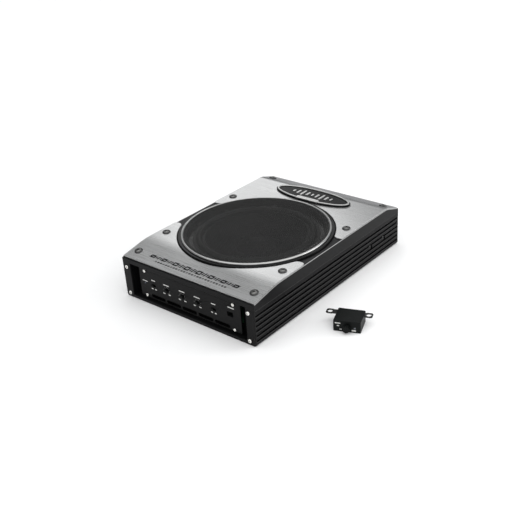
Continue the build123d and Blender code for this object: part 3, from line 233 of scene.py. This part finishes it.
FINISHES = {
    "black_cover": surface("black_cover", (0.005, 0.005, 0.0053), 0.0, 0.38, 2600, 0.000012,
                           rough_spread=0.06, Specular_IOR_Level=0.10),
    # the lighter colour on its rounded fin edges is a painted highlight
    "black_anodised": surface("black_anodised", (0.005, 0.005, 0.0053), 0.0, 0.40, 1400, 0.000012,
                              (1, 0.02, 1), rough_spread=0.08, painted_highlight=(0.04, 0.04, 0.04),
                              Specular_IOR_Level=0.08),
    "brushed_silver": brushed_plate(),
    "chrome_trim": surface("chrome_trim", (0.46, 0.46, 0.455), 1.0, 0.34, 500, 0.000004,
                           shade=0.04, rough_spread=0.05),
    "bright_screw": surface("bright_screw", (0.86, 0.85, 0.82), 1.0, 0.22, 1500, 0.000008,
                            shade=0.06),
    "dark_screw": surface("dark_screw", (0.075, 0.075, 0.075), 1.0, 0.30, 1500, 0.00001, shade=0.2),
    "mesh_black": surface("mesh_black", (0.020, 0.020, 0.0195), 0.0, 0.26, 3000, 0.000004,
                          rough_spread=0.04, Specular_IOR_Level=0.42),
    "black_plastic": surface("black_plastic", (0.004, 0.005, 0.0047), 0.0, 0.46, 2200, 0.00003,
                             Specular_IOR_Level=0.12),
    "gloss_black": surface("gloss_black", (0.003, 0.003, 0.0033), 0.0, 0.25, 1200, 0.000005,
                           rough_spread=0.05, Specular_IOR_Level=0.06),
    "steel": surface("steel", (0.42, 0.42, 0.43), 1.0, 0.38, 900, 0.00001),
    "rubber_black": surface("rubber_black", (0.006, 0.006, 0.006), 0.0, 0.38, 1800, 0.00003,
                            Specular_IOR_Level=0.22),
    "cone_black": surface("cone_black", (0.004, 0.004, 0.0043), 0.0, 0.40, 1100, 0.00005,
                          (1, 1, 0.4), Specular_IOR_Level=0.08),
    "ferrite": surface("ferrite", (0.06, 0.06, 0.065), 0.1, 0.55, 700, 0.00004),
    "copper": windings("copper", (0.30, 0.12, 0.05), (0.75, 0.36, 0.18), 320.0),
    "spider_cloth": cloth("spider_cloth", (0.35, 0.25, 0.08), (0.65, 0.52, 0.22), 0.001),
    "circuit_board": surface("circuit_board", (0.004, 0.035, 0.015), 0.0, 0.35, 300, 0.00004,
                             shade=0.3, cloud=180.0),
    "capacitor_can": surface("capacitor_can", (0.05, 0.06, 0.11), 0.1, 0.32, 600, 0.00001),
    "brass_contact": surface("brass_contact", (0.80, 0.60, 0.25), 1.0, 0.25, 900, 0.000006),
    "blue_lens": surface("blue_lens", (0.02, 0.03, 0.06), 0.0, 0.15, 600, 0.000005,
                         Coat_Weight=0.5, Coat_Roughness=0.05),
    "white_lens": surface("white_lens", (0.10, 0.11, 0.12), 0.0, 0.18, 600, 0.000005,
                          Coat_Weight=0.5, Coat_Roughness=0.05),
    "fuse_orange": surface("fuse_orange", (0.75, 0.22, 0.03), 0.0, 0.25, 600, 0.00001),
    "gasket_foam": surface("gasket_foam", (0.012, 0.012, 0.012), 0.0, 0.9, 2500, 0.0001),
}
NODE_FINISHES = {
    # a light grey painted along the cover's rounded shoulder as a highlight
    "top_cover": surface("cover_with_painted_edge_highlight", (0.005, 0.005, 0.0053), 0.0, 0.38, 2600, 0.000012,
                         rough_spread=0.06, painted_highlight=(0.34, 0.34, 0.34), Specular_IOR_Level=0.11),
    "trim_screws": surface("cup_screw", (0.20, 0.20, 0.195), 1.0, 0.24, 1500, 0.00001, shade=0.1),
    "badge_rim": surface("badge_silver", (0.46, 0.46, 0.455), 1.0, 0.34, 900, 0.000006, shade=0.05),
    "badge_base": surface("badge_black", (0.004, 0.004, 0.0043), 0.0, 0.30, 1200, 0.000005,
                          Specular_IOR_Level=0.05),
}
WHITE_INK = surface("white_ink", (0.62, 0.62, 0.60), 0.0, 0.5, 1800, 0.00001)
BLACK_INK = surface("black_ink", (0.004, 0.004, 0.005), 0.0, 0.45, 1800, 0.00001,
                    Specular_IOR_Level=0.06)

for part in frame["record"]["subparts"]:
    mesh = frame["nodes"][part["node"]].data
    mesh.materials.clear()
    mesh.materials.append(NODE_FINISHES.get(part["node"], FINISHES[part["material_slot"]]))

# rounded edges that catch the light, on the pieces that show
SOFT_EDGES = {
    "top_cover": 0.5, "side_rail_left": 0.3, "side_rail_right": 0.3, "front_frame": 0.3,
    "rear_panel": 0.3, "control_panel": 0.2, "front_trim_plate": 0.25, "rear_trim_plate": 0.25,
    "grille_ring": 0.2, "remote_case": 0.3, "remote_base": 0.2, "remote_bracket": 0.2,
    "level_knob": 0.15, "crossover_knob": 0.15, "boost_knob": 0.15, "remote_knob": 0.2,
    "auto_switch": 0.15, "phase_switch": 0.15, "badge_base": 0.3, "badge_rim": 0.15,
    "trim_washers": 0.1, "trim_screws": 0.1, "end_screws": 0.1, "control_panel_screws": 0.1,
    "base_plate": 0.2, "fuse": 0.15, "rear_sockets": 0.2, "rca_jacks": 0.1,
}


def soften(node, radius):
    """Weld the CAD mesh's split corners and round its sharp edges, without touching its data."""
    piece = frame["nodes"][node]
    weld = piece.modifiers.new("weld", "WELD")
    weld.merge_threshold = 0.000002
    bevel = piece.modifiers.new("bevel", "BEVEL")
    bevel.width = radius * MM
    bevel.segments = 2
    bevel.limit_method = "ANGLE"
    bevel.angle_limit = radians(35)
    level = piece.modifiers.new("flat faces keep their normals", "WEIGHTED_NORMAL")
    level.mode = "FACE_AREA"
    level.weight = 50


for node, radius in SOFT_EDGES.items():
    soften(node, radius)


# ---- Mesh tools -------------------------------------------------------------------------
def add_piece(name, vertices, faces, material, body, smooth=False):
    """New mesh piece, riding on a body if one is named."""
    mesh = bpy.data.meshes.new(name)
    mesh.from_pydata([tuple(v) for v in vertices], [], faces)
    mesh.validate()
    mesh.polygons.foreach_set("use_smooth", [smooth] * len(mesh.polygons))
    mesh.materials.append(material)
    piece = bpy.data.objects.new(name, mesh)
    scene.collection.objects.link(piece)
    if body:
        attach(piece, body)
    return piece


def turned(name, profile, axis_xy, material, body, segments=160):
    """Solid of revolution about an upright axis, from a closed (radius, height) outline."""
    vertices, faces = [], []
    count = len(profile)
    for i in range(segments):
        a = 2 * pi * i / segments
        for r, z in profile:
            vertices.append((axis_xy[0] + r * cos(a), axis_xy[1] + r * sin(a), z))
    for i in range(segments):
        j = (i + 1) % segments
        for k in range(count):
            m = (k + 1) % count
            faces.append((i * count + k, j * count + k, j * count + m, i * count + m))
    return add_piece(name, vertices, faces, material, body, smooth=True)


# ---- Perforated grille ------------------------------------------------------------------
grille_low, grille_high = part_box("grille")
GRILLE_CENTRE = (grille_low + grille_high) / 2
MESH_RADIUS = (grille_high.x - grille_low.x) / 2
MESH_TOP, MESH_FOOT = grille_high.z, grille_low.z
SHEET = 0.5 * MM
ROLLED = 0.20 * MM                          # how far punching has pulled the hole edges down
CROWN_RADIUS = MESH_RADIUS - 3.6 * MM       # where the shallow crown meets the turned-down edge
CROWN_RISE = 3.9 * MM
SPHERE = (CROWN_RADIUS**2 + CROWN_RISE**2) / (2 * CROWN_RISE)
EDGE_DROP = 3.2 * MM                        # height over which the edge turns down
EDGE_LENGTH = 5.35 * MM                     # and its length along the sheet
HOLE_PITCH = 3.3 * MM
HOLE_WIDTH = 2.5 * MM                      # across the flats
SHEET_RADIUS = CROWN_RADIUS + EDGE_LENGTH + 1.2 * MM    # flat pattern of the whole sheet
HEX = [radians(60 * k + 30) for k in range(6)]


def dome(flat, depth=0.0):
    """Radius and height on the sheet, flat metres out from its middle, depth under its surface."""
    if flat <= CROWN_RADIUS:
        lean = flat / SPHERE
        return flat - depth * lean, MESH_TOP - SPHERE + sqrt(SPHERE**2 - flat**2) - depth
    turn = min(1.0, (flat - CROWN_RADIUS) / EDGE_LENGTH) * pi / 2
    corner = MESH_RADIUS - CROWN_RADIUS
    shoulder = MESH_TOP - CROWN_RISE
    radius = CROWN_RADIUS + (corner - depth) * sin(turn)
    height = shoulder - EDGE_DROP + (EDGE_DROP - depth) * cos(turn)
    return radius, height - max(0.0, flat - CROWN_RADIUS - EDGE_LENGTH)


def perforated_sheet():
    """Domed steel sheet with staggered six-sided holes, from one cell repeated in rows."""
    vertices, faces, shared = [], [], {}

    def corner(x, y, sink):
        """Outer vertex, sunk under the surface, and the inner vertex below it, shared between cells."""
        key = (round(x * 1e6), round(y * 1e6))
        if key not in shared:
            shared[key] = len(vertices)
            flat, a = sqrt(x * x + y * y), atan2(y, x)
            for depth in (sink, SHEET):
                r, z = dome(flat, depth)
                vertices.append((GRILLE_CENTRE.x + r * cos(a), GRILLE_CENTRE.y + r * sin(a), z))
        return shared[key]

    cell = HOLE_PITCH / sqrt(3)
    hole = HOLE_WIDTH / sqrt(3)
    row_step = HOLE_PITCH * sqrt(3) / 2
    rows = int(SHEET_RADIUS / row_step) + 1
    for row in range(-rows, rows + 1):
        y = row * row_step
        for column in range(-rows - 2, rows + 3):
            x = (column + 0.5 * (row % 2)) * HOLE_PITCH
            if sqrt(x * x + y * y) > SHEET_RADIUS - cell:
                continue
            outer = [corner(x + cell * cos(a), y + cell * sin(a), 0.0) for a in HEX]
            inner = [corner(x + hole * cos(a), y + hole * sin(a), ROLLED) for a in HEX]
            for k in range(6):
                m = (k + 1) % 6
                faces.append((outer[k], outer[m], inner[m], inner[k]))
                faces.append((outer[m] + 1, outer[k] + 1, inner[k] + 1, inner[m] + 1))
                faces.append((inner[k], inner[m], inner[m] + 1, inner[k] + 1))
    sheet = add_piece("grille_mesh", vertices, faces, FINISHES["mesh_black"], "housing")
    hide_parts("grille")


def grille_foot():
    """Plain foot of the turned-down edge, standing on the bezel inside the silver ring."""
    lap = 0.06 * MM
    top = MESH_FOOT + 2.6 * MM
    outline = [(MESH_RADIUS + lap, MESH_FOOT), (MESH_RADIUS + lap, top - 1.2 * MM),
               (MESH_RADIUS - 0.25 * MM, top), (MESH_RADIUS - 1.3 * MM, top - 0.6 * MM),
               (MESH_RADIUS - SHEET - lap, top - 1.4 * MM), (MESH_RADIUS - SHEET - lap, MESH_FOOT)]
    turned("grille_foot", outline, GRILLE_CENTRE.xy, FINISHES["mesh_black"], "housing")


perforated_sheet()
grille_foot()


# ---- Surround and spider ----------------------------------------------------------------
SECTORS, SECTOR_STEPS = 12, 10


def soft_ring(node, outline, material):
    """Flexible ring in sectors that meet edge to edge, from a closed (radius, height) outline."""
    width, count = 2 * pi / SECTORS, len(outline)
    for i in range(SECTORS):
        vertices, faces = [], []
        for j in range(SECTOR_STEPS + 1):
            a = (i + j / SECTOR_STEPS) * width
            vertices += [(GRILLE_CENTRE.x + r * cos(a), GRILLE_CENTRE.y + r * sin(a), z)
                         for r, z in outline]
        for j in range(SECTOR_STEPS):
            here, there = j * count, (j + 1) * count
            for k in range(count):
                m = (k + 1) % count
                faces.append((here + k, there + k, there + m, here + m))
        faces.append(tuple(range(count)))
        faces.append(tuple(reversed(range(SECTOR_STEPS * count, (SECTOR_STEPS + 1) * count))))
        sector = add_piece(f"{node}_sector_{i + 1}", vertices, faces, material, None, smooth=True)
        sector.data.set_sharp_from_angle(angle=radians(60))
        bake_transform(sector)
        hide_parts(node)


def surround_ring():
    """Half-roll rubber surround."""
    low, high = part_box("surround")
    wall, lip_inner, lip_outer = 0.8 * MM, 77.4 * MM, (high.x - low.x) / 2
    centre, half, rise = 86.0 * MM, 5.5 * MM, high.z - low.z - wall
    arc = [pi * i / 14 for i in range(15)]
    under = [(centre - (half - wall) * cos(t), low.z + rise * sin(t)) for t in arc]
    over = [(centre + half * cos(t), low.z + wall + rise * sin(t)) for t in arc]
    outline = [(lip_inner, low.z), *under, (lip_outer, low.z), (lip_outer, low.z + wall), *over,
               (lip_inner, low.z + wall)]
    soft_ring("surround", outline, FINISHES["rubber_black"])


def spider_ring():
    """Corrugated cloth spider."""
    low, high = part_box("spider")
    wall, inner, outer = 0.8 * MM, 19.5 * MM, (high.x - low.x) / 2
    first, last, waves = 26.0 * MM, 48.0 * MM, 2
    rise = high.z - low.z - wall
    steps = [i / 24 for i in range(25)]
    wave = [(first + (last - first) * t, low.z + rise * (1 - cos(2 * pi * waves * t)) / 2)
            for t in steps]
    top = [(r, z + wall) for r, z in reversed(wave)]
    outline = [(inner, low.z), *wave, (outer, low.z), (outer, low.z + wall), *top,
               (inner, low.z + wall)]
    soft_ring("spider", outline, FINISHES["spider_cloth"])


surround_ring()
spider_ring()


# ---- Printed marks ----------------------------------------------------------------------
INK = 0.05 * MM


def bar(x, y, wide, tall, slant=0.0, chamfer=0.25):
    """Eight-cornered bar centred at (x, y), leaning by slant across its height."""
    cut = min(wide, tall) * chamfer
    w, t = wide / 2, tall / 2
    corners = [(-w + cut, -t), (w - cut, -t), (w, -t + cut), (w, t - cut),
               (w - cut, t), (-w + cut, t), (-w, t - cut), (-w, -t + cut)]
    return [(x + u + slant * v / tall, y + v) for u, v in corners]


def printed(name, origin, right, up, marks, material, body="housing"):
    """Thin raised ink on a flat face; marks are outlines in (right, up) from the origin."""
    out = right.cross(up).normalized()
    vertices, faces = [], []
    for outline in marks:
        start, count = len(vertices), len(outline)
        for lift in (0.0, INK):
            vertices += [origin + right * u + up * v + out * lift for u, v in outline]
        faces.append(tuple(range(start + count, start + 2 * count)))
        faces.append(tuple(reversed(range(start, start + count))))
        for k in range(count):
            m = (k + 1) % count
            faces.append((start + k, start + m, start + count + m, start + count + k))
    return add_piece(name, vertices, faces, material, body)


plate_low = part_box("front_trim_plate")[0]
RAMP_RISE, RAMP_RUN = 8.5 * MM, 46.5 * MM     # the front ramp climbs this much over this length
RAMP_UP = Vector((0, RAMP_RUN, RAMP_RISE)).normalized()
RAMP_FOOT = Vector((0, plate_low.y, plate_low.z + 1.5 * MM))


def lean_frame(x, y, wide, tall, stroke, slant):
    """Outlines of the four strokes of a hollow leaning box centred at (x, y)."""
    side, end = (wide - stroke) / 2, (tall - stroke) / 2
    sides = [bar(x + sign * side, y, stroke, tall, slant) for sign in (-1, 1)]
    ends = [bar(x + sign * slant * end / tall, y + sign * end, wide - 2 * stroke, stroke,
                slant * stroke / tall, chamfer=0.0) for sign in (-1, 1)]
    return sides + ends


def front_plate_print():
    """A level-meter motif: leaning hollow and solid bars in a swelling row, over a row of dashes."""
    marks = []
    count, half, lean, stroke = 15, 79.0, 2.0 * MM, 2.5 * MM
    row_y = 18.2 * MM
    for i in range(count):
        x = -half + 2 * half * i / (count - 1)
        tall = (7.2 + 1.0 * cos(pi * x / half)) * MM
        if i % 2:
            marks.append(bar(x * MM, row_y, stroke, tall, lean))
            for offset in (4.0, -4.0):
                marks.append(bar((x + offset) * MM, row_y, 2.2 * MM, tall * 0.7, lean * 0.7))
        else:
            marks += lean_frame(x * MM, row_y, 9.6 * MM, tall, stroke, lean)
    dashes, reach = 27, 66.0
    for i in range(dashes):
        x = -reach + 2 * reach * i / (dashes - 1)
        wide = 3.4 if i % 3 else 2.0
        marks.append(bar(x * MM, 10.2 * MM, wide * MM, 2.8 * MM, 0.6 * MM))
    return printed("front_plate_print", RAMP_FOOT, Vector((1, 0, 0)), RAMP_UP, marks, BLACK_INK)


front_plate_print()

PANEL_ORIGIN = Vector((0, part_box("control_panel")[0].y, 0))
KNOBS = ("level_knob", "crossover_knob", "boost_knob")
SWITCHES = ("auto_switch", "phase_switch")
SWITCH_THROW = 4.0 * MM


def middle(node):
    """Centre of a CAD node's box."""
    low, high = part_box(node)
    return (low + high) / 2


def panel_print():
    """Bars for the captions, ticks round the knobs, and a mark at each end of every travel."""
    marks = []
    for node in KNOBS:
        c = middle(node)
        marks.append(bar(c.x, c.z + 8.6 * MM, 11.0 * MM, 1.5 * MM))
        for side in (-1, 1):
            marks.append(bar(c.x + side * 5.4 * MM, c.z - 5.6 * MM, 4.2 * MM, 1.7 * MM))
        for k in range(11):
            a = radians(-140 + 28 * k)
            x, z = c.x + 5.6 * MM * sin(a), c.z + 5.6 * MM * cos(a)
            marks.append(bar(x, z, 0.45 * MM, 0.45 * MM))
    for node in SWITCHES:
        c = middle(node)
        x = c.x + SWITCH_THROW / 2
        marks.append(bar(x, c.z + 8.4 * MM, 8.0 * MM, 1.5 * MM))
        for side in (-1, 1):
            marks.append(bar(x + side * 3.4 * MM, c.z - 5.6 * MM, 3.6 * MM, 1.7 * MM))
    lamp = middle("power_led")
    marks.append(bar(lamp.x, lamp.z + 3.4 * MM, 10.0 * MM, 1.3 * MM))
    jack = middle("remote_jack")
    marks.append(bar(jack.x + 2.0 * MM, jack.z + 10.6 * MM, 11.5 * MM, 1.6 * MM))
    return printed("panel_print", PANEL_ORIGIN, Vector((1, 0, 0)), Vector((0, 0, 1)), marks,
                   WHITE_INK)


panel_print()


SOCKET_CAPTIONS = ((61.0, 22.0), (22.0, 14.0), (-16.0, 22.0), (-56.0, 16.0))     # place and width, mm
TERMINAL_X = (69.0, 61.0, 53.0)
CAPTION_Z, TERMINAL_MARK_Z = 35.0 * MM, 31.0 * MM


def rear_print():
    """Bars under the sockets, and a mark at each screw terminal's place, on the power end."""
    marks = [bar(x * MM, CAPTION_Z, wide * MM, 1.6 * MM) for x, wide in SOCKET_CAPTIONS]
    marks += [bar(x * MM, TERMINAL_MARK_Z, 3.0 * MM, 1.2 * MM) for x in TERMINAL_X]
    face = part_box("rear_panel")[1].y
    return printed("rear_print", Vector((0, face, 0)), Vector((-1, 0, 0)), Vector((0, 0, 1)),
                   marks, WHITE_INK)


rear_print()


REMOTE_YAW = radians(20.9)


def remote_print():
    """Marks beside the remote control's knob."""
    ears_low, ears_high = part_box("remote_base")
    centre = (ears_low + ears_high) / 2
    right = Vector((cos(REMOTE_YAW), sin(REMOTE_YAW), 0))
    front = Vector((sin(REMOTE_YAW), -cos(REMOTE_YAW), 0))
    origin = Vector((centre.x, centre.y, 0)) + front * 16.5 * MM
    marks = [bar(-12.6 * MM, 12.6 * MM, 7.6 * MM, 1.5 * MM), bar(-12.0 * MM, 8.6 * MM, 3.4 * MM, 1.6 * MM),
             bar(-8.6 * MM, 3.4 * MM, 3.0 * MM, 1.3 * MM), bar(9.6 * MM, 3.2 * MM, 6.0 * MM, 2.0 * MM)]
    return printed("remote_print", origin, right, Vector((0, 0, 1)), marks, WHITE_INK,
                   "remote_unit")


remote_print()


# ---- Studio -----------------------------------------------------------------------------
def studio_floor():
    """Large pale floor."""
    half = 8.0
    mesh = bpy.data.meshes.new("floor")
    mesh.from_pydata([(-half, -half, 0), (half, -half, 0), (half, half, 0), (-half, half, 0)], [],
                     [(0, 1, 2, 3)])
    mesh.materials.append(surface("pale_floor", (0.93, 0.93, 0.93), 0.0, 0.8, 60, 0.00001,
                                  shade=0.005))
    floor = bpy.data.objects.new("floor", mesh)
    floor.location.z = -0.0002
    scene.collection.objects.link(floor)


def overhead(strength, spread_angle, tilt):
    """Very soft light from above, the same over the whole floor."""
    data = bpy.data.lights.new("overhead", "SUN")
    data.energy = strength
    data.angle = spread_angle
    light = bpy.data.objects.new("overhead", data)
    light.rotation_euler = tilt
    scene.collection.objects.link(light)


def soft_box(name, place, aim, size, power):
    """Rectangular area light at place, aimed at a point."""
    data = bpy.data.lights.new(name, "AREA")
    data.shape = "RECTANGLE"
    data.size, data.size_y = size
    data.energy = power
    light = bpy.data.objects.new(name, data)
    light.location = place
    light.rotation_mode = "QUATERNION"
    light.rotation_quaternion = (Vector(aim) - Vector(place)).to_track_quat("-Z", "Y")
    scene.collection.objects.link(light)


GLOW_AZIMUTH, GLOW_ELEVATION = radians(42.5), radians(26.5)     # from +Y towards -X, above the floor
GLOW_RADIUS, GLOW_LEVEL = radians(11), 2.6
SUN_STRENGTH, SUN_WIDTH = 2.6, radians(112)
SUN_TILT = (radians(10), radians(14), 0)


def studio_sky():
    """Dim walls with one broad bright patch, low behind the unit on its left."""
    world = bpy.data.worlds.new("studio")
    scene.world = world
    world.use_nodes = True
    nodes, links = world.node_tree.nodes, world.node_tree.links
    background = nodes["Background"]
    coordinates = nodes.new("ShaderNodeTexCoord")
    split = nodes.new("ShaderNodeSeparateXYZ")
    walls = nodes.new("ShaderNodeValToRGB")
    stops = ((0.0, 0.12), (0.5, 0.12), (0.60, 0.34), (0.74, 0.42), (0.84, 0.30), (1.0, 0.26))
    elements = walls.color_ramp.elements
    while len(elements) < len(stops):
        elements.new(0.5)
    for element, (position, level) in zip(elements, stops):
        element.position = position
        element.color = (level * 0.985, level, level * 1.015, 1)
    half_up = nodes.new("ShaderNodeMath")
    half_up.operation = "MULTIPLY_ADD"
    half_up.inputs[1].default_value = half_up.inputs[2].default_value = 0.5
    links.new(coordinates.outputs["Generated"], split.inputs[0])
    links.new(split.outputs["Z"], half_up.inputs[0])
    links.new(half_up.outputs[0], walls.inputs["Fac"])
    towards = nodes.new("ShaderNodeVectorMath")
    towards.operation = "DOT_PRODUCT"
    towards.inputs[1].default_value = (-sin(GLOW_AZIMUTH) * cos(GLOW_ELEVATION),
                                       cos(GLOW_AZIMUTH) * cos(GLOW_ELEVATION), sin(GLOW_ELEVATION))
    links.new(coordinates.outputs["Generated"], towards.inputs[0])
    patch = nodes.new("ShaderNodeMapRange")
    patch.interpolation_type = "SMOOTHERSTEP"
    patch.inputs["From Min"].default_value = cos(GLOW_RADIUS)
    patch.inputs["From Max"].default_value = 1.0
    patch.inputs["To Max"].default_value = GLOW_LEVEL
    links.new(towards.outputs["Value"], patch.inputs["Value"])
    total = nodes.new("ShaderNodeMix")
    total.data_type = "RGBA"
    total.blend_type = "ADD"
    total.inputs["Factor"].default_value = 1.0
    links.new(walls.outputs["Color"], total.inputs["A"])
    links.new(patch.outputs["Result"], total.inputs["B"])
    links.new(total.outputs["Result"], background.inputs["Color"])
    background.inputs["Strength"].default_value = 1.0


studio_floor()
studio_sky()
overhead(SUN_STRENGTH, SUN_WIDTH, SUN_TILT)
soft_box("edge_light", (1.45, 1.35, 0.75), (0, 0, 0.05), (0.8, 0.8), 12.0)
scene.view_settings.view_transform = "Standard"
